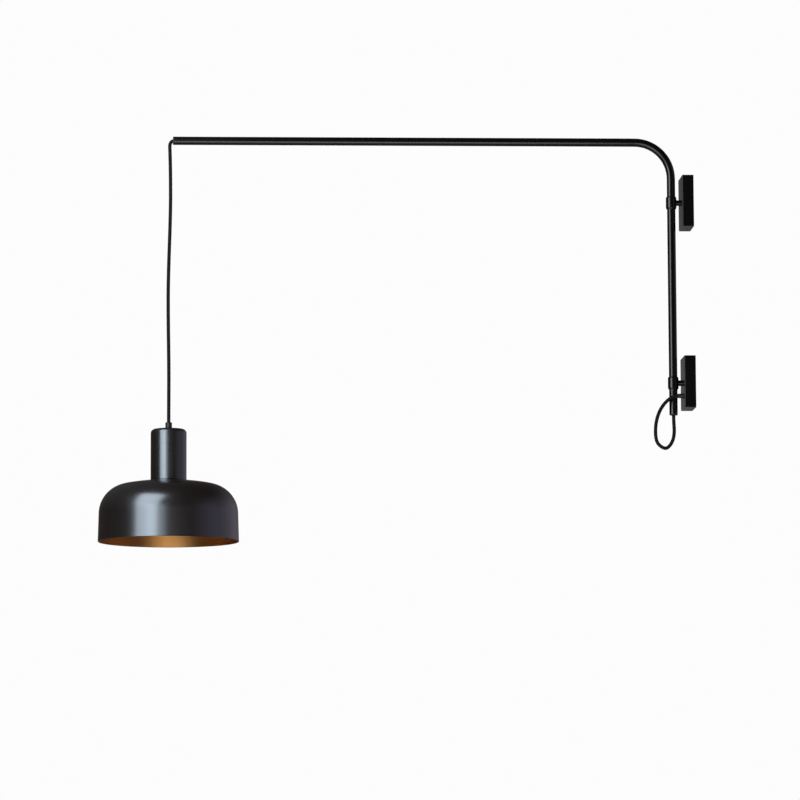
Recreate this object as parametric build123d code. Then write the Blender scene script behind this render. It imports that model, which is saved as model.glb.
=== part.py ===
from build123d import *
import math
import os

# A wall sconce with a swing arm and a hanging shade, in millimetres.
# The wall is the plane x = 0 and the room lies towards -x. +z is up. The origin is the centre of the
# lower wall box's back. The photograph looks along +y, so the hidden side of each piece is +y.

# Driving dimensions: the arm on its wall
REACH = 1000.0               # wall to the arm's tip
AXIS_OFFSET = 40.0           # wall to the vertical tube's axis, about which the arm turns
BOX_PITCH = 350.0            # lower box's centre to the upper box's centre
ARM_RISE = 118.0             # upper box's centre up to the horizontal tube's axis
TUBE_DROP = 62.0             # lower box's centre down to the tube's lower end
TUBE_R = 8.0
TUBE_WALL = 1.5
BEND_R = 70.0                # the arm's bend, at the tube's axis
SWING = 83.0                 # degrees to each side

# Wall boxes
BOX_HEIGHT = 100.0
BOX_WIDTH = 68.0
BOX_DEPTH = 22.0
SHEET = 1.5
BOX_EDGE_R = 1.5
PLATE = 3.0
PLATE_GAP = 0.5              # wall plate to the inside of its cover
TAB_WIDTH = 20.0
TAB_DEPTH = 12.0
WALL_SCREW_PITCH = 80.0
WALL_SCREW_HOLE_R = 2.6
COVER_SCREW_R = 1.5
COVER_SCREW_LENGTH = 5.0

# Collars in which the tube turns
COLLAR_R = 10.2
COLLAR_HEIGHT = 24.0
COLLAR_BEVEL = 1.2
LINER = 0.75
PIN_R = 5.5
PIN_SCREW_R = 3.0
PIN_SCREW_LENGTH = 16.0
STOP_R = 2.0                 # the stop screw's thread
STOP_NOSE_R = 1.4
GROOVE_DEPTH = 0.8
GROOVE_PLAY = 0.25

# Lead
CORD_R = 3.35
TIP_CORD_R = 7.0             # the lead's fold over the arm's tip, at its axis
LEAD_IN_BUSH = 6.0           # how far the loop reaches into the tube's lower bush
LEAD_IN_GLAND = 9.0          # how far it reaches into the gland's nozzle
GLAND_Y = -12.5              # beside the tube, so that the lead passes in front of it
GLAND_DROP = 26.0
GLAND_BASE_R = 4.7
GLAND_TIP_R = 4.1
GLAND_LENGTH = 11.0
GLAND_THREAD_R = 4.5
GLAND_NUT_R = 8.0
GLAND_NUT = 4.0

# Bushes in the tube's ends
BUSH_FLANGE = 2.5
BUSH_LENGTH = 14.0
BUSH_FLARE = 1.6
CLAMP_SCREW_R = 2.0
CLAMP_SCREW_SETBACK = 8.0    # tip of the arm to the clamp screw

# Electrics in the lower box
BLOCK_WIDTH = 32.0
BLOCK_HEIGHT = 16.0
BLOCK_DEPTH = 12.0
BLOCK_RISE = 24.0
POLES = 3
POLE_PITCH = 10.0
WELL_R = 2.3
WELL_DEPTH = 7.0
TERMINAL_PITCH = 8.0
FIXING_SCREW_R = 1.4
EARTH_Y = 24.0
EARTH_SCREW_R = 2.0
ENTRY_Y = 14.0
ENTRY_R = 6.0
ENTRY_SLEEVE = 2.0
ENTRY_FLANGE = 2.0

# Shade, heights above its rim
RIM_DROP = 305.0             # lower box's centre down to the shade's rim
RIM_R = 134.2
SIDE_TOP_R = 132.6
SIDE_TOP = 55.0
SHOULDER_R = 57.5
SHOULDER_TURN = 77.5         # degrees from the side to the crown
CROWN_R = 400.0
SHADE_WALL = 1.2
SHADE_HOLE_R = 20.0

# Neck and what hangs it
NECK_R = 34.2
NECK_TOP = 215.4             # above the rim
NECK_EDGE_R = 8.0
NECK_WALL = 1.0
GRIP_R = 6.3
GRIP_HEIGHT = 13.0
GRIP_BEVEL = 1.0
GRIP_SCREW_R = 1.5
NIPPLE_R = 5.0
NIPPLE_BORE_R = 3.5
NIPPLE_IN_GRIP = 8.0
NIPPLE_NUT = 3.5
NIPPLE_NUT_R = 8.0

# Lamp holder inside the neck, heights above the shade's rim
HOLDER_BOTTOM = 96.0
HOLDER_TOP = 150.0
HOLDER_WALL = 2.0
HOLDER_LIP = 1.5             # the inward lip that the insert stands on
HOLDER_FLANGE = 2.0
HOLDER_FLANGE_R = 24.5
CAP_TOP = 176.0
CAP_BOTTOM = 141.0
CAP_WALL = 1.6
CAP_EDGE_R = 6.0
CAP_BOSS = 8.0
CAP_BOSS_R = 8.0
INSERT_TOP = 148.0
INSERT_FLOOR = 128.0
SOCKET_R = 13.5
SOCKET_WALL = 0.4
SOCKET_BOTTOM = 101.0
SOCKET_LENGTH = 20.0
CONTACT_R = 4.0
CONTACT = 0.6
TONGUE_DROP = 5.0
SHADE_RING = 6.0
SHADE_RING_R = 27.0
SHADE_RING_GRIPS = 12
GRIP_NOTCH_R = 2.0

# Clearances
RUN_GAP = 0.05               # between the tube and its liners
SEAT_GAP = 0.02              # between pieces that are pushed or screwed together
FACE_GAP = 0.05              # between a curved piece and the flat one that it rests on
HOLE_GAP = 0.25              # round a piece that passes freely through a hole
LEAD_GAP = 0.25              # round the lead in its gland and bushes
SWIVEL_GAP = 0.25            # between the two stretches of lead that swing on each other

# Worked out from them
ARM_HEIGHT = BOX_PITCH + ARM_RISE
TUBE_BORE_R = TUBE_R - TUBE_WALL
LINER_INNER_R = TUBE_R + RUN_GAP
LINER_OUTER_R = LINER_INNER_R + LINER
SHADE_X = -REACH - TIP_CORD_R
FOLD_BOTTOM = ARM_HEIGHT - TIP_CORD_R
SWING_Z = FOLD_BOTTOM - SWIVEL_GAP - CORD_R
PLATE_HEIGHT = BOX_HEIGHT - 2 * (SHEET + PLATE_GAP)
PLATE_WIDTH = BOX_WIDTH - 2 * (SHEET + PLATE_GAP)
COVER_SCREW_X = -(PLATE + TAB_DEPTH / 2)
COVER_SCREW_HEAD_R = 2 * COVER_SCREW_R
PIN_SCREW_HEAD_R = 2 * PIN_SCREW_R
LEAD_BORE_R = CORD_R + LEAD_GAP
HOLDER_R = SHADE_HOLE_R - HOLE_GAP

UPWARDS = (Align.CENTER, Align.CENTER, Align.MIN)
FROM_WALL = (Align.MAX, Align.CENTER, Align.CENTER)
TO_ROOM = Rot(0, -90, 0)     # lays a solid drawn upwards so that it points to the room
TO_HIDDEN_SIDE = Rot(-90, 0, 0)
TO_PHOTO_SIDE = Rot(90, 0, 0)
UPSIDE_DOWN = Rot(180, 0, 0)
QUARTER = 90


def rod(radius, length):
    return Cylinder(radius, length, align=UPWARDS)


def ring(outer, inner, bottom, top):
    return Pos(0, 0, bottom) * (rod(outer, top - bottom) - rod(inner, top - bottom))


def lathe(face):
    """Turns a profile, drawn with its radius along x and its height along y, about z."""
    return revolve(Plane.XZ * face, Axis.Z)


def hexagon(radius, height):
    return extrude(RegularPolygon(radius, 6), height)


def countersunk_screw(radius, length, head_radius):
    """A countersunk screw driven upwards, with its head's face at z = 0."""
    cone = head_radius - radius
    head = Cone(head_radius, radius, cone, align=UPWARDS)
    shank = Pos(0, 0, cone) * rod(radius, length - cone)
    return head + shank - hexagon(radius, cone)


def countersunk_hole(radius, length, head_radius, gap):
    """The hole for that screw, larger by a gap all round."""
    cone = head_radius - radius
    return Cone(head_radius + gap, radius + gap, cone, align=UPWARDS) + rod(radius + gap, length)


def grub_screw(radius, length):
    """A headless screw driven upwards, with a hexagon socket in its face at z = 0."""
    return rod(radius, length) - hexagon(radius / 2, length / 3)


def hex_nut(corner_radius, bore_radius, height):
    return hexagon(corner_radius, height) - rod(bore_radius, height)


# Wall plates, covers and their screws


def cover_screw_places():
    """Under the lower wall of the cover driven up, and on its upper wall driven down."""
    below = Pos(COVER_SCREW_X, 0, -BOX_HEIGHT / 2)
    above = Pos(COVER_SCREW_X, 0, BOX_HEIGHT / 2) * UPSIDE_DOWN
    return [below, above]


def wall_plate(is_wired):
    """A folded steel plate: flat on the wall, with a tab at the top and the bottom for the cover."""
    plate = Box(PLATE, PLATE_WIDTH, PLATE_HEIGHT, align=FROM_WALL)
    tab = Box(PLATE + TAB_DEPTH, TAB_WIDTH, PLATE, align=FROM_WALL)
    for side in (-1, 1):
        plate += Pos(0, 0, side * (PLATE_HEIGHT - PLATE) / 2) * tab
        plate -= Pos(0, 0, side * WALL_SCREW_PITCH / 2) * TO_ROOM * rod(WALL_SCREW_HOLE_R, PLATE)
    for place in cover_screw_places():
        plate -= place * rod(COVER_SCREW_R + SEAT_GAP, COVER_SCREW_LENGTH + SHEET)
    plate -= TO_ROOM * countersunk_hole(PIN_SCREW_R, PIN_SCREW_LENGTH, PIN_SCREW_HEAD_R, SEAT_GAP)
    if is_wired:
        plate -= Pos(0, ENTRY_Y, -GLAND_DROP) * TO_ROOM * rod(ENTRY_R + ENTRY_SLEEVE + SEAT_GAP, PLATE)
        plate -= Pos(0, EARTH_Y, BLOCK_RISE) * TO_ROOM * rod(EARTH_SCREW_R + SEAT_GAP, PLATE)
        for place in fixing_screw_places():
            plate -= place * TO_ROOM * rod(FIXING_SCREW_R + SEAT_GAP, PLATE)
    return plate


def box_cover(is_wired):
    """A folded steel cover, open towards the wall."""
    body = Box(BOX_DEPTH, BOX_WIDTH, BOX_HEIGHT, align=FROM_WALL)
    outer_edges = body.edges().filter_by(Axis.X) + body.edges().group_by(Axis.X)[0]
    body = fillet(outer_edges, BOX_EDGE_R)
    body -= Box(BOX_DEPTH - SHEET, BOX_WIDTH - 2 * SHEET, BOX_HEIGHT - 2 * SHEET, align=FROM_WALL)
    body -= TO_ROOM * rod(PIN_R + HOLE_GAP, BOX_DEPTH)
    for place in cover_screw_places():
        body -= place * countersunk_hole(
            COVER_SCREW_R, COVER_SCREW_LENGTH, COVER_SCREW_HEAD_R, SEAT_GAP
        )
    if is_wired:
        body -= Pos(0, GLAND_Y, -GLAND_DROP) * TO_ROOM * rod(GLAND_THREAD_R + SEAT_GAP, BOX_DEPTH)
    return body


def cover_screws():
    screw = countersunk_screw(COVER_SCREW_R, COVER_SCREW_LENGTH, COVER_SCREW_HEAD_R)
    return Compound([place * screw for place in cover_screw_places()])


# Collars, liners and the stop that holds the arm


def swing_groove():
    """Part of a ring round the tube: the stop screw's nose runs in it, and its ends end the swing."""
    floor_r = TUBE_R - GROOVE_DEPTH
    half_height = STOP_NOSE_R + GROOVE_PLAY
    half_turn = SWING + math.degrees(math.asin((STOP_NOSE_R + GROOVE_PLAY) / floor_r))
    section = Pos(floor_r + GROOVE_DEPTH, 0) * Rectangle(2 * GROOVE_DEPTH, 2 * half_height)
    groove = revolve(Plane.XZ * section, Axis.Z, 2 * half_turn)
    return Rot(0, 0, QUARTER - half_turn) * groove


def stop_hole(radius):
    return TO_HIDDEN_SIDE * rod(radius, COLLAR_R)


def collar(has_stop):
    """A ring with a pin brazed to it: the pin reaches through the cover to the wall plate."""
    body = Cylinder(COLLAR_R, COLLAR_HEIGHT)
    body = chamfer(body.edges().filter_by(GeomType.CIRCLE), 2 * COLLAR_BEVEL, COLLAR_BEVEL)
    body += Rot(0, QUARTER, 0) * rod(PIN_R, AXIS_OFFSET - PLATE)
    body -= Cylinder(LINER_OUTER_R + SEAT_GAP, COLLAR_HEIGHT)
    wall_side = Pos(AXIS_OFFSET, 0, 0) * TO_ROOM
    body -= wall_side * rod(PIN_SCREW_R + SEAT_GAP, PIN_SCREW_LENGTH + PLATE)
    if has_stop:
        body -= stop_hole(STOP_R + SEAT_GAP)
    return Pos(-AXIS_OFFSET, 0, 0) * body


def collar_liner(has_stop):
    liner = ring(LINER_OUTER_R, LINER_INNER_R, -COLLAR_HEIGHT / 2, COLLAR_HEIGHT / 2)
    if has_stop:
        liner -= stop_hole(STOP_R + SEAT_GAP)
    return Pos(-AXIS_OFFSET, 0, 0) * liner


def collar_screw():
    return TO_ROOM * countersunk_screw(PIN_SCREW_R, PIN_SCREW_LENGTH, PIN_SCREW_HEAD_R)


def arm_stop_screw():
    """Screwed in from the hidden side, with its nose in the tube's groove."""
    thread = COLLAR_R - LINER_INNER_R - RUN_GAP
    nose = GROOVE_DEPTH + 2 * RUN_GAP - GROOVE_PLAY
    screw = grub_screw(STOP_R, thread) + rod(STOP_NOSE_R, thread + nose) - hexagon(STOP_R / 2, thread / 3)
    return Pos(-AXIS_OFFSET, COLLAR_R, 0) * TO_PHOTO_SIDE * screw


# The arm


def arm_path(bottom, tip):
    return FilletPolyline(
        (-AXIS_OFFSET, 0, bottom), (-AXIS_OFFSET, 0, ARM_HEIGHT), (-tip, 0, ARM_HEIGHT), radius=BEND_R
    )


def along(path, radius):
    """A round bar whose axis is the path."""
    start = Plane(origin=path @ 0, z_dir=path % 0)
    return sweep(start * Circle(radius), path=path)


def arm_tube():
    path = arm_path(BUSH_FLANGE - TUBE_DROP, REACH - BUSH_FLANGE)
    tube = along(path, TUBE_R) - along(path, TUBE_BORE_R)
    tube -= Pos(-AXIS_OFFSET, 0, 0) * swing_groove()
    return tube - clamp_screw_place() * rod(CLAMP_SCREW_R + SEAT_GAP, TUBE_R)


def end_bush():
    """A turned bush pushed up into the tube from z = 0, with a flared mouth for the lead."""
    flange = fillet(rod(TUBE_R, BUSH_FLANGE).edges().group_by(Axis.Z)[0], BUSH_FLANGE / 2)
    bush = flange + rod(TUBE_BORE_R - SEAT_GAP, BUSH_LENGTH) - rod(LEAD_BORE_R, BUSH_LENGTH)
    mouth = bush.edges().filter_by(GeomType.CIRCLE).group_by(Axis.Z)[0].sort_by(SortBy.RADIUS)[0]
    return fillet(mouth, BUSH_FLARE)


def bottom_bush():
    return Pos(-AXIS_OFFSET, 0, -TUBE_DROP) * end_bush()


def tip_bush():
    bush = Pos(-REACH, 0, ARM_HEIGHT) * Rot(0, QUARTER, 0) * end_bush()
    return bush - clamp_screw_place() * rod(CLAMP_SCREW_R + SEAT_GAP, TUBE_R)


def clamp_screw_place():
    """On the tube's hidden side near its tip, driven towards the lead."""
    return Pos(CLAMP_SCREW_SETBACK - REACH, TUBE_R, ARM_HEIGHT) * TO_PHOTO_SIDE


def cord_clamp_screw():
    return clamp_screw_place() * grub_screw(CLAMP_SCREW_R, TUBE_R - CORD_R - SEAT_GAP)


def tube_cord():
    return along(arm_path(LEAD_IN_BUSH - TUBE_DROP, REACH), CORD_R)


# Gland and electrics in the lower box


def gland_place():
    return Pos(-BOX_DEPTH, GLAND_Y, -GLAND_DROP) * TO_ROOM


def cable_gland():
    """A slim tapered nozzle outside the cover, with a threaded shank through it."""
    nozzle = Cone(GLAND_BASE_R, GLAND_TIP_R, GLAND_LENGTH, align=UPWARDS)
    shank_length = SHEET + GLAND_NUT + 1
    shank = Pos(0, 0, -shank_length) * rod(GLAND_THREAD_R, shank_length)
    bore = Pos(0, 0, -shank_length) * rod(LEAD_BORE_R, shank_length + GLAND_LENGTH)
    return gland_place() * (nozzle + shank - bore)


def cable_gland_nut():
    nut = hex_nut(GLAND_NUT_R, GLAND_THREAD_R + SEAT_GAP, GLAND_NUT)
    return gland_place() * Pos(0, 0, -SHEET - GLAND_NUT) * nut


def pole_offsets():
    return [(index - (POLES - 1) / 2) * POLE_PITCH for index in range(POLES)]


def fixing_screw_places():
    """Between the poles, on the face of the block."""
    half = POLE_PITCH / 2
    return [Pos(0, side * half, BLOCK_RISE) for side in (-1, 1)]


def well_places():
    """The terminal screws' wells, two to a pole, open towards the room."""
    face = -(PLATE + BLOCK_DEPTH)
    return [
        Pos(face, offset, BLOCK_RISE + side * TERMINAL_PITCH / 2) * Rot(0, QUARTER, 0)
        for offset in pole_offsets()
        for side in (-1, 1)
    ]


def terminal_block():
    block = Pos(-PLATE, 0, BLOCK_RISE) * Box(BLOCK_DEPTH, BLOCK_WIDTH, BLOCK_HEIGHT, align=FROM_WALL)
    block = chamfer(block.edges().group_by(Axis.X)[0], SHEET / 2)
    for place in well_places():
        block -= place * rod(WELL_R, WELL_DEPTH)
    for place in fixing_screw_places():
        block -= place * TO_ROOM * rod(FIXING_SCREW_R + SEAT_GAP, PLATE + BLOCK_DEPTH)
    return block


def terminal_screws():
    screw = Pos(0, 0, WELL_DEPTH / 2) * rod(WELL_R - SEAT_GAP, WELL_DEPTH / 2 - SEAT_GAP)
    slot = Pos(0, 0, WELL_DEPTH / 2) * Box(2 * WELL_R, WELL_R / 3, WELL_R, align=UPWARDS)
    return Compound([place * (screw - slot) for place in well_places()])


def pan_head_screw(radius, length):
    """Driven upwards, with its head's underside at z = 0."""
    head = Pos(0, 0, -radius) * rod(2 * radius, radius)
    slot = Pos(0, 0, -radius) * Box(4 * radius, radius / 3, radius / 2, align=UPWARDS)
    return head + rod(radius, length) - slot


def terminal_fixing_screws():
    from_face = Pos(-(PLATE + BLOCK_DEPTH), 0, 0) * Rot(0, QUARTER, 0)
    screw = from_face * pan_head_screw(FIXING_SCREW_R, PLATE + BLOCK_DEPTH)
    return Compound([place * screw for place in fixing_screw_places()])


def earth_screw():
    place = Pos(-PLATE, EARTH_Y, BLOCK_RISE) * Rot(0, QUARTER, 0)
    return place * pan_head_screw(EARTH_SCREW_R, PLATE)


def entry_grommet():
    """A rubber bush in the wall plate, for the cable that comes out of the wall."""
    sleeve = ring(ENTRY_R + ENTRY_SLEEVE, ENTRY_R, 0, PLATE + ENTRY_FLANGE)
    flange = ring(ENTRY_R + 2 * ENTRY_SLEEVE, ENTRY_R, PLATE, PLATE + ENTRY_FLANGE)
    return Pos(0, ENTRY_Y, -GLAND_DROP) * TO_ROOM * (sleeve + flange)


# The free lead: the loop from the gland into the tube, and the pendant's


def supply_loop():
    """The lead leaves the gland beside the tube, drops in a loop and comes up into the tube."""
    lead_end = LEAD_IN_BUSH - TUBE_DROP
    points = [
        Vector(-BOX_DEPTH - GLAND_LENGTH + LEAD_IN_GLAND, GLAND_Y, -GLAND_DROP),
        Vector(-40, -12.5, -26.1),
        Vector(-54.5, -12.7, -35.5),
        Vector(-66.5, -12.3, -51),
        Vector(-74, -11, -70.5),
        Vector(-76.6, -9, -91),
        Vector(-74.8, -6.7, -113),
        Vector(-64.5, -4.6, -124),
        Vector(-50, -2.5, -124),
        Vector(-39.8, -0.7, -113.6),
        Vector(-38.6, 0, -95),
        Vector(-AXIS_OFFSET, 0, -74),
        Vector(-AXIS_OFFSET, 0, lead_end),
    ]
    radii = lead_radii(points)
    print("supply_loop arc radii", [round(radius, 1) for radius in radii])
    path = FilletPolyline(*points, radius=radii)
    print("supply_loop length", round(path.length, 1))
    lead = along(path, CORD_R)
    print("supply_loop volume over section times length", lead.volume / (math.pi * CORD_R**2 * path.length))
    return lead


def lead_radii(points):
    """Each corner's arc takes 0.45 of the shorter of its two runs."""
    radii = []
    for before, corner, after in zip(points, points[1:], points[2:]):
        arriving = corner - before
        leaving = after - corner
        half_turn = math.radians(arriving.get_angle(leaving)) / 2
        radii.append(0.45 * min(arriving.length, leaving.length) / math.tan(half_turn))
    return radii


def cord_bend():
    """The lead's quarter turn over the arm's tip."""
    middle = TIP_CORD_R * math.sin(math.radians(QUARTER / 2))
    path = ThreePointArc(
        (-REACH, 0, ARM_HEIGHT), (-REACH - middle, 0, FOLD_BOTTOM + middle), (SHADE_X, 0, FOLD_BOTTOM)
    )
    return along(path, CORD_R)


def pendant_cord():
    """The straight lead, whose rounded top end swings under the fold."""
    end = CAP_TOP - RIM_DROP
    print("pendant_cord length", round(SWING_Z - end, 1))
    straight = Pos(SHADE_X, 0, end) * rod(CORD_R, SWING_Z - end)
    return straight + Pos(SHADE_X, 0, SWING_Z) * Sphere(CORD_R)


# The pendant, drawn with the middle of the shade's rim as the origin


def hung(solid):
    return Pos(SHADE_X, 0, -RIM_DROP) * solid


def crown_height(radius, depth):
    """Height of the crown's surface that lies a depth below its outside, at a radius."""
    return crown_centre().Y + math.sqrt((CROWN_R - depth) ** 2 - (radius - crown_centre().X) ** 2)


def side_slope():
    return math.degrees(math.atan((RIM_R - SIDE_TOP_R) / SIDE_TOP))


def shoulder_centre():
    slope = math.radians(side_slope())
    return Vector(SIDE_TOP_R, SIDE_TOP) - Vector(math.cos(slope), math.sin(slope)) * SHOULDER_R


def crown_centre():
    turn = math.radians(SHOULDER_TURN)
    return shoulder_centre() - Vector(math.cos(turn), math.sin(turn)) * (CROWN_R - SHOULDER_R)


def shade_line(depth):
    """The shade's section from its rim to its crown's hole, a depth inside its outer surface."""
    side = Line((RIM_R - depth, 0), (shoulder_start(depth).X, shoulder_start(depth).Y))
    turn = SHOULDER_TURN - side_slope()
    shoulder = CenterArc(tuple(shoulder_centre()), SHOULDER_R - depth, side_slope(), turn)
    hole_angle = math.degrees(math.acos((SHADE_HOLE_R - crown_centre().X) / (CROWN_R - depth)))
    crown = CenterArc(
        tuple(crown_centre()), CROWN_R - depth, SHOULDER_TURN, hole_angle - SHOULDER_TURN
    )
    return side, shoulder, crown


def shoulder_start(depth):
    slope = math.radians(side_slope())
    return shoulder_centre() + Vector(math.cos(slope), math.sin(slope)) * (SHOULDER_R - depth)


def shade():
    outside = shade_line(0)
    inside = shade_line(SHADE_WALL)
    rim = Line(outside[0] @ 0, inside[0] @ 0)
    hole = Line(outside[2] @ 1, inside[2] @ 1)
    section = make_face(Curve() + [*outside, *inside, rim, hole])
    return hung(lathe(section))


def socket_cover():
    """The neck: a spun cup, upside down on the shade's crown."""
    bottom = crown_height(NECK_R - NECK_WALL, 0) + FACE_GAP
    height = NECK_TOP - bottom
    outside = fillet(rod(NECK_R, height).edges().group_by(Axis.Z)[-1], NECK_EDGE_R)
    inside = rod(NECK_R - NECK_WALL, height - NECK_WALL)
    inside = fillet(inside.edges().group_by(Axis.Z)[-1], NECK_EDGE_R - NECK_WALL)
    hole = rod(NIPPLE_R + HOLE_GAP, height)
    return hung(Pos(0, 0, bottom) * (outside - inside - hole))


def cord_grip():
    """Screwed on the nipple above the neck; its bore clamps the lead."""
    body = rod(GRIP_R, GRIP_HEIGHT)
    body = chamfer(body.edges().group_by(Axis.Z)[-1], GRIP_BEVEL)
    body -= rod(LEAD_BORE_R, GRIP_HEIGHT)
    body -= rod(NIPPLE_R + SEAT_GAP, NIPPLE_IN_GRIP)
    body -= grip_screw_place() * rod(GRIP_SCREW_R + SEAT_GAP, GRIP_R)
    return hung(Pos(0, 0, NECK_TOP) * body)


def grip_screw_place():
    height = (NIPPLE_IN_GRIP + GRIP_HEIGHT) / 2
    return Pos(0, GRIP_R - SEAT_GAP, height) * TO_PHOTO_SIDE


def cord_grip_screw():
    screw = grub_screw(GRIP_SCREW_R, GRIP_R - CORD_R - 2 * SEAT_GAP)
    return hung(Pos(0, 0, NECK_TOP) * grip_screw_place() * screw)


def nipple():
    """The threaded tube from the cord grip down into the holder's cap."""
    return hung(ring(NIPPLE_R, NIPPLE_BORE_R, CAP_TOP, NECK_TOP + NIPPLE_IN_GRIP - SEAT_GAP))


def nipple_nut():
    top = NECK_TOP - NECK_WALL
    nut = hex_nut(NIPPLE_NUT_R, NIPPLE_R + SEAT_GAP, NIPPLE_NUT)
    return hung(Pos(0, 0, top - NIPPLE_NUT) * nut)


def holder_cap():
    """A domed cap screwed over the holder's shell, with a boss for the nipple."""
    inner_r = HOLDER_R + SEAT_GAP
    height = CAP_TOP - CAP_BOTTOM
    outside = fillet(rod(inner_r + CAP_WALL, height).edges().group_by(Axis.Z)[-1], CAP_EDGE_R)
    inside = rod(inner_r, height - CAP_WALL)
    inside = chamfer(inside.edges().group_by(Axis.Z)[-1], (CAP_EDGE_R - CAP_WALL) / 2)
    boss = Pos(0, 0, height) * rod(CAP_BOSS_R, CAP_BOSS)
    bore = Pos(0, 0, height) * rod(NIPPLE_R + SEAT_GAP, CAP_BOSS)
    cap = outside - inside + boss - bore - rod(LEAD_BORE_R, height)
    return hung(Pos(0, 0, CAP_BOTTOM) * cap)


def holder_shell():
    """The holder's outer sleeve, whose flange rests on the crown round the shade's hole."""
    sleeve = ring(HOLDER_R, HOLDER_R - HOLDER_WALL, HOLDER_BOTTOM, HOLDER_TOP)
    lip = ring(HOLDER_R, SOCKET_R + SOCKET_WALL + HOLE_GAP, HOLDER_BOTTOM, HOLDER_BOTTOM + HOLDER_LIP)
    flange_bottom = crown_height(SHADE_HOLE_R, 0) + FACE_GAP
    flange = ring(HOLDER_FLANGE_R, HOLDER_R - HOLDER_WALL, flange_bottom, flange_bottom + HOLDER_FLANGE)
    return hung(sleeve + lip + flange)


def holder_insert():
    """A ceramic cup that holds the screw shell and the middle contact."""
    bottom = HOLDER_BOTTOM + HOLDER_LIP
    body = rod(HOLDER_R - HOLDER_WALL - SEAT_GAP, INSERT_TOP - bottom)
    cup = rod(SOCKET_R + SOCKET_WALL + SEAT_GAP, INSERT_FLOOR - bottom)
    return hung(Pos(0, 0, bottom) * (body - cup))


def holder_thread():
    """The brass shell that the bulb's cap screws into."""
    return hung(ring(SOCKET_R + SOCKET_WALL, SOCKET_R, SOCKET_BOTTOM, SOCKET_BOTTOM + SOCKET_LENGTH))


def holder_contact():
    """A brass disc on the cup's floor, with a tongue bent down to meet the bulb."""
    disc = Pos(0, 0, INSERT_FLOOR - CONTACT) * rod(CONTACT_R, CONTACT)
    half = CONTACT_R / 2
    tongue = Polyline(
        (half, 0),
        (-half, -TONGUE_DROP),
        (-CONTACT_R, -TONGUE_DROP),
        (-CONTACT_R, CONTACT - TONGUE_DROP),
        (-half - CONTACT / 2, CONTACT - TONGUE_DROP),
        (half - 2 * CONTACT, 0),
        close=True,
    )
    strip = extrude(Plane.XZ * make_face(tongue), half, both=True)
    return hung(Pos(0, 0, INSERT_FLOOR - CONTACT) * strip + disc)


def shade_ring():
    """Screwed up the holder's shell against the shade from inside, with notches for the fingers."""
    top = crown_height(SHADE_RING_R, SHADE_WALL) - FACE_GAP
    body = ring(SHADE_RING_R, HOLDER_R + SEAT_GAP, top - SHADE_RING, top)
    for place in PolarLocations(SHADE_RING_R + GRIP_NOTCH_R / 2, SHADE_RING_GRIPS):
        body -= Pos(0, 0, top - SHADE_RING) * place * rod(GRIP_NOTCH_R, SHADE_RING)
    return hung(body)


def upper(solid):
    return Pos(0, 0, BOX_PITCH) * solid


PARTS = {
    "lower_wall_plate": wall_plate(is_wired=True),
    "upper_wall_plate": upper(wall_plate(is_wired=False)),
    "lower_box_cover": box_cover(is_wired=True),
    "upper_box_cover": upper(box_cover(is_wired=False)),
    "lower_cover_screws": cover_screws(),
    "upper_cover_screws": upper(cover_screws()),
    "lower_collar": collar(has_stop=True),
    "upper_collar": upper(collar(has_stop=False)),
    "lower_collar_liner": collar_liner(has_stop=True),
    "upper_collar_liner": upper(collar_liner(has_stop=False)),
    "lower_collar_screw": collar_screw(),
    "upper_collar_screw": upper(collar_screw()),
    "arm_stop_screw": arm_stop_screw(),
    "cable_gland": cable_gland(),
    "cable_gland_nut": cable_gland_nut(),
    "terminal_block": terminal_block(),
    "terminal_screws": terminal_screws(),
    "terminal_fixing_screws": terminal_fixing_screws(),
    "earth_screw": earth_screw(),
    "entry_grommet": entry_grommet(),
    "supply_loop": supply_loop(),
    "arm_tube": arm_tube(),
    "bottom_bush": bottom_bush(),
    "tip_bush": tip_bush(),
    "tube_cord": tube_cord(),
    "cord_clamp_screw": cord_clamp_screw(),
    "cord_bend": cord_bend(),
    "pendant_cord": pendant_cord(),
    "cord_grip": cord_grip(),
    "cord_grip_screw": cord_grip_screw(),
    "socket_cover": socket_cover(),
    "nipple": nipple(),
    "nipple_nut": nipple_nut(),
    "holder_cap": holder_cap(),
    "holder_shell": holder_shell(),
    "holder_insert": holder_insert(),
    "holder_thread": holder_thread(),
    "holder_contact": holder_contact(),
    "shade_ring": shade_ring(),
    "shade": shade(),
}

os.makedirs("parts", exist_ok=True)
for name, solid in PARTS.items():
    export_step(solid, f"parts/{name}.step")
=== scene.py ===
import math
import bmesh
import bpy
import numpy as np
from mathutils import Matrix, Vector


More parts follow.
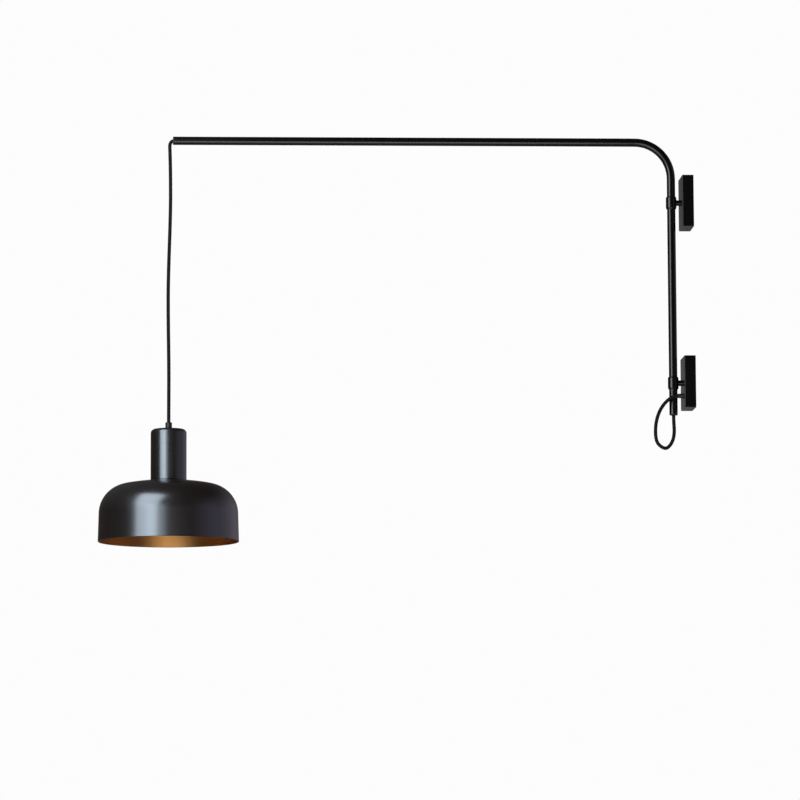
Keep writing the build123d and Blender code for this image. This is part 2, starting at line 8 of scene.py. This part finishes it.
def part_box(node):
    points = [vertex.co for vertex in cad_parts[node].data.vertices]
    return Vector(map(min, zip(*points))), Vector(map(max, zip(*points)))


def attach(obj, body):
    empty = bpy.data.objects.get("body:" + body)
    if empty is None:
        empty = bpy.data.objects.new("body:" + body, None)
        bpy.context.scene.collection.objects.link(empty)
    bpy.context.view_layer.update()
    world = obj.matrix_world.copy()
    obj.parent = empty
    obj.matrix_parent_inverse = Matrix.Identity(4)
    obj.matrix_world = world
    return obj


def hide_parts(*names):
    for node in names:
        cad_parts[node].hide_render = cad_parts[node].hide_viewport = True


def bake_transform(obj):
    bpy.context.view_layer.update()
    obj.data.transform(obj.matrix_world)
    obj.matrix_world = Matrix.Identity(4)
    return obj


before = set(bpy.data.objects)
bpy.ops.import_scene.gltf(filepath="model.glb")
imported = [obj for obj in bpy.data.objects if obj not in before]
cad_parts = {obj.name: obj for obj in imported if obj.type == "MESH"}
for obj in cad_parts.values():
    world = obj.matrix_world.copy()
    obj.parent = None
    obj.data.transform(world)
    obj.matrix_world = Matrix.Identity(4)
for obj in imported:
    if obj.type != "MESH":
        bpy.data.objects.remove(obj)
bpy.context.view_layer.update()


# Camera. The photograph was taken with a long lens from a little below the shade, so its rim shows
# as a thin ellipse with the brass-coloured inside behind it, and the wall boxes show their undersides.
camera_data = bpy.data.cameras.new("camera")
camera_data.sensor_width = 36
camera_data.lens = 189.685
camera = bpy.data.objects.new("camera", camera_data)
bpy.context.collection.objects.link(camera)
camera_place = (-0.9368, -8.0008, -0.969)
to_the_right = math.radians(2.659)
upwards = math.radians(6.665)
leaning = math.radians(-0.238)
looking_up = Matrix.Rotation(math.pi / 2 + upwards, 4, "X")
turned = Matrix.Rotation(-to_the_right, 4, "Z") @ looking_up @ Matrix.Rotation(leaning, 4, "Z")
camera.matrix_world = Matrix.Translation(camera_place) @ turned
bpy.context.scene.camera = camera
bpy.context.scene.view_settings.view_transform = "Standard"


# The studio. White paper stands behind the lamp. The room is dim, so that black stays black, apart from a
# pale wall on the right and a greyish ceiling on the left. Four soft boxes light the lamp from the front,
# and a pale paper floor, which shows from above only, fades out with the distance.
def add_node(tree, kind, inputs=None, **settings):
    """Adds a shader node, sets its properties by name, and fills or links its inputs."""
    made = tree.nodes.new(kind)
    for name, value in settings.items():
        setattr(made, name, value)
    for name, value in (inputs or {}).items():
        if isinstance(value, bpy.types.NodeSocket):
            tree.links.new(value, made.inputs[name])
        else:
            made.inputs[name].default_value = value
    return made


def math_node(tree, operation, *values):
    """Works on one or more values, each a number or another node's output."""
    return add_node(tree, "ShaderNodeMath", dict(enumerate(values)), operation=operation).outputs[0]


def ramp(tree, value, start, end, low=0.0, high=1.0):
    """Goes from low to high while the value goes from start to end, and stays level outside them."""
    return add_node(tree, "ShaderNodeMapRange", {0: value, 1: start, 2: end, 3: low, 4: high}).outputs[0]


def over(tree, share, below, color):
    """Lays a colour over what is below it, by its share."""
    return add_node(tree, "ShaderNodeMix", {0: share, 6: below, 7: color}, data_type="RGBA").outputs[2]


world = bpy.data.worlds.new("studio")
bpy.context.scene.world = world
world.use_nodes = True
world.node_tree.nodes.clear()
tree = world.node_tree
direction = add_node(tree, "ShaderNodeTexCoord").outputs["Generated"]
split = add_node(tree, "ShaderNodeSeparateXYZ", {0: direction})
across, behind, above = split.outputs["X"], split.outputs["Y"], split.outputs["Z"]
across_and_back = math_node(tree, "MULTIPLY_ADD", behind, 0.25, across)
right = ramp(tree, across_and_back, start=0.42, end=0.9)
left = ramp(tree, across, start=0.3, end=-0.3)
level = ramp(tree, above, start=0.7, end=0.2)
high = ramp(tree, above, start=0.1, end=0.7)
pale_wall = math_node(tree, "MULTIPLY", right, level)
dim_ceiling = math_node(tree, "MULTIPLY", left, high)
paper = ramp(tree, behind, start=0.93, end=0.99)
straight_behind = ramp(tree, behind, start=0.99, end=1.0)
light_path = add_node(tree, "ShaderNodeLightPath").outputs
mirrored = math_node(tree, "MAXIMUM", light_path["Is Glossy Ray"], light_path["Is Transmission Ray"])
mirrored_paper = math_node(tree, "MULTIPLY", straight_behind, mirrored)
white = math_node(tree, "MAXIMUM", light_path["Is Camera Ray"], mirrored_paper)

dim_room = (0.036, 0.028, 0.025, 1)
wall_paint = (0.28, 0.245, 0.30, 1)
ceiling_paint = (0.085, 0.082, 0.082, 1)
unlit_paper = (0.19, 0.19, 0.19, 1)
white_paper = (0.98, 0.98, 0.98, 1)
walled = over(tree, pale_wall, dim_room, wall_paint)
room = over(tree, dim_ceiling, walled, ceiling_paint)
papered = over(tree, paper, room, unlit_paper)
seen = over(tree, white, papered, white_paper)
background = add_node(tree, "ShaderNodeBackground", {"Color": seen})
add_node(tree, "ShaderNodeOutputWorld", {"Surface": background.outputs[0]})

floor_height = -1.3
floor_reach = 9.0
floor_mesh = bpy.data.meshes.new("floor")
corners = floor_reach * np.array([(-1, -1, 0), (1, -1, 0), (1, 1, 0), (-1, 1, 0)]) + (0, 0, floor_height)
floor_mesh.from_pydata(corners.tolist(), [], [(0, 1, 2, 3)])
floor = bpy.data.objects.new("floor", floor_mesh)
bpy.context.collection.objects.link(floor)
floor_material = bpy.data.materials.new("floor_paper")
floor_material.use_nodes = True
tree = floor_material.node_tree
tree.nodes.clear()
fibre = add_node(tree, "ShaderNodeTexNoise", {"Scale": 40.0, "Detail": 6.0}).outputs[0]
tone = over(tree, fibre, below=(0.52, 0.52, 0.52, 1), color=(0.56, 0.56, 0.56, 1))
pale = add_node(tree, "ShaderNodeBsdfPrincipled", {"Base Color": tone, "Roughness": 0.8})
clear = add_node(tree, "ShaderNodeBsdfTransparent")
glow = add_node(tree, "ShaderNodeEmission", {"Color": (0.95, 0.95, 0.95, 1)})
camera_ray = add_node(tree, "ShaderNodeLightPath").outputs["Is Camera Ray"]
glow_share = math_node(tree, "MULTIPLY", camera_ray, 0.7)
paper_floor = add_node(tree, "ShaderNodeMixShader", {0: glow_share, 1: pale.outputs[0], 2: glow.outputs[0]})
geometry = add_node(tree, "ShaderNodeNewGeometry").outputs
under_lamp = (-0.5, 0, floor_height)
away = add_node(tree, "ShaderNodeVectorMath", {0: geometry["Position"], 1: under_lamp}, operation="DISTANCE")
far_off = ramp(tree, away.outputs["Value"], start=1.2, end=6.5)
faded = math_node(tree, "MAXIMUM", geometry["Backfacing"], far_off)
one_sided = add_node(tree, "ShaderNodeMixShader", {0: faded, 1: paper_floor.outputs[0], 2: clear.outputs[0]})
add_node(tree, "ShaderNodeOutputMaterial", {"Surface": one_sided.outputs[0]})
floor_mesh.materials.append(floor_material)


shade_middle = Vector((-1.007, 0, -0.12))


def soft_box(name, azimuth, elevation, distance, width, tall, radiance, color):
    """A rectangular lamp aimed at the shade from a direction, in degrees from the front and above level."""
    around = math.radians(azimuth)
    up = math.radians(elevation)
    towards = Vector((math.sin(around) * math.cos(up), -math.cos(around) * math.cos(up), math.sin(up)))
    data = bpy.data.lights.new(name, "AREA")
    data.shape = "RECTANGLE"
    data.size = width
    data.size_y = tall
    data.energy = radiance * math.pi * width * tall
    data.color = color
    light = bpy.data.objects.new(name, data)
    light.location = shade_middle + distance * towards
    light.rotation_euler = (-towards).to_track_quat("-Z", "Y").to_euler()
    light.visible_camera = False
    bpy.context.collection.objects.link(light)


soft_box(
    "key", azimuth=-36, elevation=27, distance=2.3, width=1.6, tall=2.5, radiance=4.9,
    color=(0.90, 0.95, 1.0),
)
soft_box(
    "key_middle", azimuth=-20, elevation=0, distance=2.4, width=1.3, tall=1.1, radiance=1.7,
    color=(0.88, 0.94, 1.0),
)
soft_box(
    "low_front", azimuth=3, elevation=-15, distance=2.8, width=2.0, tall=0.6, radiance=3.6,
    color=(1.0, 0.98, 0.95),
)
soft_box(
    "near_floor", azimuth=0, elevation=-29, distance=2.0, width=2.2, tall=0.6, radiance=2.4,
    color=(1.0, 0.98, 0.95),
)


# Wall plates. Each box has a plate of zinc-plated steel screwed to the wall, folded from sheet, with two
# tabs that its cover is screwed to. The lower one has an earth screw and a hole for the house cable.
FLOAT = "NodeSocketFloat"
COLOR = "NodeSocketColor"
VECTOR = "NodeSocketVector"


def new_group(name, *inputs):
    """A shader group that takes two colours and two roughnesses, and gives a colour, roughness and height."""
    group = bpy.data.node_groups.new(name, "ShaderNodeTree")
    usual = [("Dark", COLOR), ("Light", COLOR), ("Smoothest", FLOAT), ("Roughest", FLOAT)]
    for label, kind in usual + list(inputs):
        group.interface.new_socket(label, in_out="INPUT", socket_type=kind)
    for label, kind in [("Color", COLOR), ("Roughness", FLOAT), ("Height", FLOAT)]:
        group.interface.new_socket(label, in_out="OUTPUT", socket_type=kind)
    return group, add_node(group, "NodeGroupInput").outputs, add_node(group, "NodeGroupOutput")


def end_group(group, given, out, tint, wear, height):
    """The tint mask goes between the two colours and the wear mask between the two roughnesses."""
    tone = over(group, tint, given["Dark"], given["Light"])
    rough = ramp(group, wear, start=0.0, end=1.0, low=given["Smoothest"], high=given["Roughest"])
    group.links.new(tone, out.inputs["Color"])
    group.links.new(rough, out.inputs["Roughness"])
    group.links.new(height, out.inputs["Height"])


def surface_material(name, group, finish, bump, depth, **sockets):
    """A Principled material whose colour, roughness and bump come from a shader group."""
    made = bpy.data.materials.new(name)
    made.use_nodes = True
    tree = made.node_tree
    shader = tree.nodes["Principled BSDF"]
    surface = add_node(tree, "ShaderNodeGroup", node_tree=group)
    for label, value in finish.items():
        surface.inputs[label].default_value = value
    relief = add_node(
        tree, "ShaderNodeBump", {"Height": surface.outputs["Height"], "Strength": bump, "Distance": depth}
    )
    tree.links.new(surface.outputs["Color"], shader.inputs["Base Color"])
    tree.links.new(surface.outputs["Roughness"], shader.inputs["Roughness"])
    tree.links.new(relief.outputs[0], shader.inputs["Normal"])
    for label, value in sockets.items():
        shader.inputs[label.replace("_", " ")].default_value = value
    return made


def dress(surface, *names):
    """Puts a material in every slot of the CAD nodes with these names."""
    for name in names:
        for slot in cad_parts[name].material_slots:
            slot.material = surface


# drawn and rolled metal: fine streaks along the way it was rolled, over slow clouds
rolled, given, out = new_group("rolled_metal", ("Stretch", VECTOR))
place = add_node(rolled, "ShaderNodeTexCoord").outputs["Object"]
drawn_out = add_node(rolled, "ShaderNodeVectorMath", {0: place, 1: given["Stretch"]}, operation="MULTIPLY")
streaks = add_node(
    rolled, "ShaderNodeTexNoise", {"Vector": drawn_out.outputs[0], "Scale": 1.0, "Detail": 4.0}
)
clouds = add_node(rolled, "ShaderNodeTexNoise", {"Vector": place, "Scale": 25.0, "Detail": 5.0})
end_group(rolled, given, out, clouds.outputs[0], streaks.outputs[0], streaks.outputs[0])

zinc = surface_material(
    "zinc_plate", rolled,
    {"Dark": (0.48, 0.48, 0.45, 1), "Light": (0.66, 0.66, 0.63, 1), "Smoothest": 0.22, "Roughest": 0.5,
     "Stretch": (1500.0, 1500.0, 25.0)},
    bump=0.2, depth=0.0001, Metallic=1.0,
)
dress(zinc, "lower_wall_plate", "upper_wall_plate", "lower_collar_screw", "upper_collar_screw")


# Electrics in the lower box. A moulded terminal block with brass screws stands on the plate, beside the
# earth screw, and a rubber grommet guards the hole for the house cable.

# moulded, sprayed and cast surfaces: a fine grain over slow clouds
grain, given, out = new_group("grain", ("Scale", FLOAT))
place = add_node(grain, "ShaderNodeTexCoord").outputs["Object"]
fine = add_node(grain, "ShaderNodeTexNoise", {"Vector": place, "Scale": given["Scale"], "Detail": 3.0})
clouds = add_node(grain, "ShaderNodeTexNoise", {"Vector": place, "Scale": 14.0, "Detail": 5.0})
end_group(grain, given, out, clouds.outputs[0], clouds.outputs[0], fine.outputs[0])

white_nylon = surface_material(
    "natural_nylon", grain,
    {"Dark": (0.72, 0.7, 0.62, 1), "Light": (0.8, 0.79, 0.72, 1), "Smoothest": 0.45, "Roughest": 0.6,
     "Scale": 1200.0},
    bump=0.15, depth=0.0001, Subsurface_Weight=0.2,
)
brass = surface_material(
    "drawn_brass", rolled,
    {"Dark": (0.58, 0.4, 0.15, 1), "Light": (0.78, 0.58, 0.26, 1), "Smoothest": 0.18, "Roughest": 0.42,
     "Stretch": (500.0, 500.0, 2500.0)},
    bump=0.15, depth=0.0001, Metallic=1.0,
)
rubber = surface_material(
    "soft_rubber", grain,
    {"Dark": (0.01, 0.01, 0.01, 1), "Light": (0.018, 0.018, 0.018, 1), "Smoothest": 0.65, "Roughest": 0.85,
     "Scale": 1300.0},
    bump=0.3, depth=0.0001,
)
dress(white_nylon, "terminal_block")
dress(brass, "terminal_screws", "earth_screw")
dress(zinc, "terminal_fixing_screws")
dress(rubber, "entry_grommet")


# Box covers. Folded steel, open towards the wall, with powder coat sprayed and baked to a satin black with
# a fine orange peel, and held above and below by countersunk screws in black oxide.
powder_coat = surface_material(
    "black_powder_coat", grain,
    {"Dark": (0.0012, 0.0012, 0.0012, 1), "Light": (0.0025, 0.0025, 0.0024, 1), "Smoothest": 0.2,
     "Roughest": 0.26, "Scale": 900.0},
    bump=0.12, depth=0.0001, IOR=1.5,
)
black_oxide = surface_material(
    "black_oxide", grain,
    {"Dark": (0.012, 0.012, 0.013, 1), "Light": (0.03, 0.03, 0.032, 1), "Smoothest": 0.35, "Roughest": 0.55,
     "Scale": 1500.0},
    bump=0.2, depth=0.0001, Metallic=0.6,
)
dress(powder_coat, "lower_box_cover", "upper_box_cover")
dress(black_oxide, "lower_cover_screws", "upper_cover_screws")


# Collars. Turned steel rings, each brazed to a pin that a screw behind the wall plate pulls tight, with a
# thin moulded liner in which the tube turns. The lower one has the stop screw that carries the arm.
black_nylon = surface_material(
    "moulded_black_nylon", grain,
    {"Dark": (0.006, 0.006, 0.006, 1), "Light": (0.011, 0.011, 0.011, 1), "Smoothest": 0.38, "Roughest": 0.5,
     "Scale": 1600.0},
    bump=0.3, depth=0.0001,
)
dress(powder_coat, "lower_collar", "upper_collar")
dress(black_nylon, "lower_collar_liner", "upper_collar_liner")
dress(black_oxide, "arm_stop_screw")


# The arm. One steel tube bent once, powder-coated like the covers, with a moulded bush in each end that
# keeps the lead off the cut edge, and a clamp screw at the tip that holds the lead.
dress(powder_coat, "arm_tube")
dress(black_nylon, "bottom_bush", "tip_bush")
dress(black_oxide, "cord_clamp_screw")


# The supply lead. A round mains lead in a black textile braid leaves the lower box through a slim nylon
# gland, passes in front of the tube, hangs in a loop and goes up into the tube.
lead_diameter = 0.0067
dress(black_nylon, "cable_gland", "cable_gland_nut")


def surface_mesh(name, points, materials, uv=None, slots=None):
    """A smooth mesh on a grid points[i, j], closed along j, with its faces towards i cross j.

    Doubled points at its poles and seams are merged.
    """
    rows, columns = points.shape[:2]
    i, j = np.meshgrid(np.arange(rows - 1), np.arange(columns), indexing="ij")
    corners = [(i, j), (i + 1, j), (i + 1, j + 1), (i, j + 1)]
    faces = np.stack([a * columns + b % columns for a, b in corners], axis=-1).reshape(-1, 4)
    mesh = bpy.data.meshes.new(name)
    mesh.from_pydata(points.reshape(-1, 3).tolist(), [], faces.tolist())
    if uv is not None:
        layer = mesh.uv_layers.new(name="UVMap")
        corner_uv = np.stack([uv[a, b] for a, b in corners], axis=-2)
        layer.data.foreach_set("uv", corner_uv.reshape(-1).astype(np.float32))
    for each in materials:
        mesh.materials.append(each)
    if slots is not None:
        mesh.polygons.foreach_set("material_index", np.repeat(slots, columns).astype(np.int32))
    welded = bmesh.new()
    welded.from_mesh(mesh)
    bmesh.ops.remove_doubles(welded, verts=welded.verts, dist=1e-6)
    welded.to_mesh(mesh)
    welded.free()
    mesh.shade_smooth()
    mesh.set_sharp_from_angle(angle=math.radians(50))
    piece = bpy.data.objects.new(name, mesh)
    bpy.context.collection.objects.link(piece)
    return piece


def route_line(name, route):
    """Points close together along the smooth curve that the route's points control."""
    curve = bpy.data.curves.new(name, "CURVE")
    curve.dimensions = "3D"
    spline = curve.splines.new("NURBS")
    spline.points.add(len(route) - 1)
    weighted = np.column_stack([route, np.ones(len(route))])
    spline.points.foreach_set("co", weighted.ravel())
    spline.order_u = 3
    spline.use_endpoint_u = True
    spline.resolution_u = 24
    holder = bpy.data.objects.new(name, curve)
    line = bpy.data.meshes.new_from_object(holder)
    places = np.empty(len(line.vertices) * 3)
    line.vertices.foreach_get("co", places)
    bpy.data.objects.remove(holder)
    return places.reshape(-1, 3)


def lead_tube(name, line, radius, materials, sides=48):
    """Circles round a line that never runs along y, closed at both ends, with v as the length in metres."""
    ahead = np.gradient(line, axis=0)
    ahead /= np.linalg.norm(ahead, axis=1, keepdims=True)
    side = np.cross(ahead, (0, 1, 0))
    side /= np.linalg.norm(side, axis=1, keepdims=True)
    up = np.cross(side, ahead)
    turn = np.linspace(0, 2 * np.pi, sides, endpoint=False)[None, :, None]
    rings = line[:, None] + radius * (np.cos(turn) * side[:, None] + np.sin(turn) * up[:, None])
    first = np.repeat(line[:1], sides, axis=0)[None]
    last = np.repeat(line[-1:], sides, axis=0)[None]
    steps = np.linalg.norm(np.diff(line, axis=0), axis=1)
    far = np.concatenate([[0, 0], np.cumsum(steps), [steps.sum()]])
    around = np.linspace(0, 2 * np.pi * radius, sides + 1)
    uv = np.stack(np.broadcast_arrays(around[None, :], far[:, None]), axis=-1)
    return surface_mesh(name, np.concatenate([first, rings, last]), materials, uv)


def braid_material(name, shaded_dip_color, light, strand):
    """Two families of strands wind round the lead and pass over and under each other in turn.

    A strand's height is a sine across it, and it swells where it crosses the middle of another.
    """
    made = bpy.data.materials.new(name)
    made.use_nodes = True
    tree = made.node_tree
    shader = tree.nodes["Principled BSDF"]
    uv = add_node(tree, "ShaderNodeSeparateXYZ", {0: add_node(tree, "ShaderNodeTexCoord").outputs["UV"]})
    round_it = math_node(tree, "MULTIPLY", uv.outputs["X"], math.pi / strand)
    along = math_node(tree, "MULTIPLY", uv.outputs["Y"], math.pi / strand)
    left = math_node(tree, "SINE", math_node(tree, "ADD", round_it, along))
    right = math_node(tree, "SINE", math_node(tree, "SUBTRACT", round_it, along))
    left_over = math_node(tree, "GREATER_THAN", math_node(tree, "MULTIPLY", left, right), 0.0)
    left_rise = math_node(tree, "ABSOLUTE", left)
    right_rise = math_node(tree, "ABSOLUTE", right)
    left_swell = ramp(tree, right_rise, start=0.0, end=1.0, low=0.55, high=1.0)
    right_swell = ramp(tree, left_rise, start=0.0, end=1.0, low=0.55, high=1.0)
    left_top = math_node(tree, "MULTIPLY", left_rise, left_swell)
    right_top = math_node(tree, "MULTIPLY", right_rise, right_swell)
    height = add_node(tree, "ShaderNodeMix", {0: left_over, 2: right_top, 3: left_top}).outputs[0]
    # painted shade and painted highlight: the colour goes dark in the dips between strands and light on their
    # tops, following the strands' height
    tone = over(tree, height, shaded_dip_color, light)
    rough = ramp(tree, height, start=0.0, end=1.0, low=0.8, high=0.5)
    relief = add_node(tree, "ShaderNodeBump", {"Height": height, "Strength": 0.8, "Distance": 0.0004})
    tree.links.new(tone, shader.inputs["Base Color"])
    tree.links.new(rough, shader.inputs["Roughness"])
    tree.links.new(relief.outputs[0], shader.inputs["Normal"])
    shader.inputs["Specular IOR Level"].default_value = 0.25
    return made


strands_around = 24
# the braid's darker colour is painted shade in the dips between strands, and its lighter colour is a painted
# highlight on the strands' tops
braid = braid_material(
    "black_textile_braid", shaded_dip_color=(0.002, 0.002, 0.002, 1), light=(0.010, 0.010, 0.010, 1),
    strand=math.pi * lead_diameter / strands_around,
)
loop = route_line(
    "loop_route",
    [
        (-0.024, -0.0125, -0.026), (-0.040, -0.0125, -0.0261), (-0.0545, -0.0127, -0.0355),
        (-0.0665, -0.0123, -0.051), (-0.074, -0.011, -0.0705), (-0.0766, -0.009, -0.091),
        (-0.0748, -0.0067, -0.113), (-0.066, -0.0046, -0.123), (-0.054, -0.0025, -0.1275),
        (-0.0425, -0.0007, -0.1136), (-0.0386, 0, -0.095), (-0.040, 0, -0.074), (-0.040, 0, -0.056),
    ],
)
supply_lead = lead_tube("supply_lead", loop, lead_diameter / 2, [braid])
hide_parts("supply_loop")
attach(supply_lead, "wall_side")

# the stretch inside the tube, which shows only in the mouths of its bushes
plain_textile = surface_material(
    "lead_in_tube", grain,
    {"Dark": (0.003, 0.003, 0.003, 1), "Light": (0.01, 0.01, 0.01, 1), "Smoothest": 0.7, "Roughest": 0.9,
     "Scale": 2200.0},
    bump=0.6, depth=0.0003,
)
dress(plain_textile, "tube_cord")


# The pendant lead. The same braided lead leaves the arm's tip, folds over by the shade's weight and hangs
# nearly straight, with the slight waves that it kept from its reel, down into the lamp holder.
lead = route_line(
    "pendant_route",
    [
        (-0.996, 0, 0.468), (-1.0065, 0, 0.468), (-1.0055, 0, 0.443), (-1.0045, 0, 0.40),
        (-1.0042, 0, 0.33), (-1.0085, 0, 0.20), (-1.0085, 0, 0.13), (-1.0068, 0, 0.03),
        (-1.007, 0, -0.05), (-1.007, 0, -0.129),
    ],
)
pendant_lead = lead_tube("pendant_lead", lead, lead_diameter / 2, [braid])
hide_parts("cord_bend", "pendant_cord")
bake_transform(pendant_lead)


# The cord grip. A small moulded barrel screwed on the nipple's upper end, with a grub screw that clamps
# the lead. The nipple is a threaded zinc-plated tube, and its nut pulls the neck's top against the grip.
dress(black_nylon, "cord_grip")
dress(black_oxide, "cord_grip_screw")
dress(zinc, "nipple", "nipple_nut")


# The neck. A drawn steel cup over the lamp holder, with a rounded top edge, in the shade's black lacquer.
# The nipple's nut holds it from inside, and its open end stands on the shade's crown.
pendant_x = -1.007
neck_r = 0.0342
neck_wall = 0.001
neck_edge_r = 0.008
neck_hole_r = 0.0055
neck_low, neck_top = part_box("socket_cover")[0][2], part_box("socket_cover")[1][2]

# spun and lacquered sheet: faint rings round the axis, over slow clouds
rings, given, out = new_group("spun_rings", ("Rings", FLOAT))
uv = add_node(rings, "ShaderNodeTexCoord").outputs["UV"]
along_profile = add_node(rings, "ShaderNodeSeparateXYZ", {0: uv}).outputs["Y"]
fine = add_node(
    rings, "ShaderNodeTexNoise", {"W": along_profile, "Scale": given["Rings"], "Detail": 4.0},
    noise_dimensions="1D",
)
place = add_node(rings, "ShaderNodeTexCoord").outputs["Object"]
clouds = add_node(rings, "ShaderNodeTexNoise", {"Vector": place, "Scale": 9.0, "Detail": 6.0})
end_group(rings, given, out, clouds.outputs[0], clouds.outputs[0], fine.outputs[0])

lacquer = surface_material(
    "black_lacquer", rings,
    {"Dark": (0.006, 0.0045, 0.004, 1), "Light": (0.010, 0.0075, 0.007, 1), "Smoothest": 0.21,
     "Roughest": 0.26, "Rings": 700.0},
    bump=0.06, depth=0.0002, IOR=1.65, Coat_Weight=1.0, Coat_Roughness=0.27, Coat_IOR=1.65,
    Specular_Tint=(0.62, 0.82, 1.0, 1),
)


def turned_piece(name, radius, height, materials, slots=None, around=256):
    """A profile of radii and heights turned once about the pendant's axis, with its outside on its left."""
    turn = np.linspace(0, 2 * np.pi, around, endpoint=False)[None, :]
    r = np.asarray(radius)[:, None]
    z = np.asarray(height)[:, None]
    points = np.stack([pendant_x + r * np.cos(turn), r * np.sin(turn), z + 0 * turn], axis=-1)
    far = np.concatenate([[0], np.cumsum(np.hypot(np.diff(radius), np.diff(height)))])
    once_round = np.linspace(0, 1, around + 1)
    uv = np.stack(np.broadcast_arrays(once_round[None, :], far[:, None]), axis=-1)
    return surface_mesh(name, points, materials, uv, slots)


def cup_profile(inset):
    """Up the side, a quarter circle round the top edge, and in to the nipple's hole."""
    angle = np.linspace(0, math.pi / 2, 16)
    side_r = neck_r - inset
    edge = neck_edge_r - inset
    top = neck_top - inset
    to_hole = np.linspace(side_r - edge, neck_hole_r, 6)[1:]
    r = np.concatenate([[side_r], side_r - edge + edge * np.cos(angle), to_hole])
    z = np.concatenate([[neck_low], top - edge + edge * np.sin(angle), np.full(len(to_hole), top)])
    return r, z


outer_r, outer_z = cup_profile(0)
inner_r, inner_z = cup_profile(neck_wall)
neck = turned_piece(
    "neck",
    np.concatenate([outer_r[::-1], inner_r, outer_r[-1:]]),
    np.concatenate([outer_z[::-1], inner_z, outer_z[-1:]]),
    [lacquer],
    around=192,
)
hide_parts("socket_cover")
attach(neck, "pendant")


# The lamp holder. A moulded cap and sleeve hold a glazed ceramic insert with a middle contact and a brass
# shell, whose thread is rolled into it for the bulb's cap. A ring with finger notches clamps the shade.
ceramic = surface_material(
    "glazed_ceramic", grain,
    {"Dark": (0.76, 0.73, 0.66, 1), "Light": (0.84, 0.82, 0.76, 1), "Smoothest": 0.12, "Roughest": 0.25,
     "Scale": 300.0},
    bump=0.1, depth=0.0002, Coat_Weight=0.5,
)
dress(black_nylon, "holder_cap", "holder_shell", "shade_ring")
dress(ceramic, "holder_insert")
dress(brass, "holder_contact")


def rolled_thread(name, mean_r, rise, pitch, thickness, low, high, rows=84, around=96):
    """The radius rises and falls once a pitch along the axis, and the wave climbs one pitch in a turn.

    The wave dies out towards both ends, and the inside follows the outside at the wall's thickness.
    """
    turn = np.linspace(0, 2 * np.pi, around, endpoint=False)[None, :]
    z = np.linspace(low, high, rows)[:, None]
    run_out = 0.6 * pitch
    ends = np.clip(np.minimum(z - low, high - z) / run_out, 0, 1)
    outside = mean_r + rise * ends * np.cos(2 * np.pi * z / pitch - turn)
    r = np.concatenate([outside[::-1], outside - thickness, outside[-1:]])
    z = np.concatenate([z[::-1], z, z[-1:]])
    points = np.stack([pendant_x + r * np.cos(turn), r * np.sin(turn), z + 0 * turn], axis=-1)
    return surface_mesh(name, points, [brass])


thread_low, thread_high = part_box("holder_thread")[0][2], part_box("holder_thread")[1][2]
thread = rolled_thread(
    "rolled_thread", mean_r=0.01342, rise=0.00046, pitch=0.00362, thickness=0.0003,
    low=thread_low, high=thread_high,
)
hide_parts("holder_thread")
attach(thread, "pendant")


# The shade. Spun from one sheet of steel, with a straight side, a round shoulder and a nearly flat crown,
# lacquered black outside and plated a warm brass inside. The holder's sleeve passes through its crown.
rim_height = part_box("shade")[0][2]
shade_wall = 0.0012
rim_r = 0.1342
side_top_r = 0.1326
side_top = 0.055
shoulder_r = 0.0575
shoulder_turn = math.radians(77.5)
crown_r = 0.4
hole_r = 0.02


def shade_profile(inset):
    """From the rim up a straight side, a round shoulder and a flat crown to the hole, a depth inside."""
    lean = math.atan2(rim_r - side_top_r, side_top)
    angle = lean + np.linspace(0, shoulder_turn, 40)
    shoulder_x = side_top_r - shoulder_r * math.cos(lean)
    shoulder_z = side_top - shoulder_r * math.sin(lean)
    reach = shoulder_r - inset
    side = np.linspace(0, 1, 12)[:-1]
    crown_x = shoulder_x - (crown_r - shoulder_r) * math.cos(angle[-1])
    crown_z = shoulder_z - (crown_r - shoulder_r) * math.sin(angle[-1])
    to_hole = np.linspace(angle[-1], math.acos((hole_r - crown_x) / (crown_r - inset)), 24)[1:]
    radius = np.concatenate([
        rim_r - inset + (side_top_r - rim_r) * side,
        shoulder_x + reach * np.cos(angle),
        crown_x + (crown_r - inset) * np.cos(to_hole),
    ])
    height = np.concatenate([
        side_top * side,
        shoulder_z + reach * np.sin(angle),
        crown_z + (crown_r - inset) * np.sin(to_hole),
    ])
    return radius, rim_height + height


outside_r, outside_z = shade_profile(0)
inside_r, inside_z = shade_profile(shade_wall)
lip = np.linspace(0, math.pi, 9)[1:-1]
lip_r = outside_r[0] - shade_wall / 2 - shade_wall / 2 * np.cos(lip)
lip_z = outside_z[0] + shade_wall / 2 - shade_wall / 2 * np.sin(lip)
outside_z[0] += shade_wall / 2
inside_z[0] += shade_wall / 2

plating = surface_material(
    "warm_brass_plating", rings,
    {"Dark": (0.44, 0.215, 0.065, 1), "Light": (0.55, 0.29, 0.10, 1), "Smoothest": 0.34, "Roughest": 0.41,
     "Rings": 900.0},
    bump=0.2, depth=0.0003, Metallic=1.0,
)
profile_r = np.concatenate([outside_r[::-1], lip_r, inside_r, outside_r[-1:]])
profile_z = np.concatenate([outside_z[::-1], lip_z, inside_z, outside_z[-1:]])
plated_from = len(outside_r) + len(lip_r)
slots = np.zeros(len(profile_r) - 1, dtype=int)
slots[plated_from:] = 1
shade = turned_piece("spun_shade", profile_r, profile_z, [lacquer, plating], slots)
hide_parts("shade")
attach(shade, "pendant")
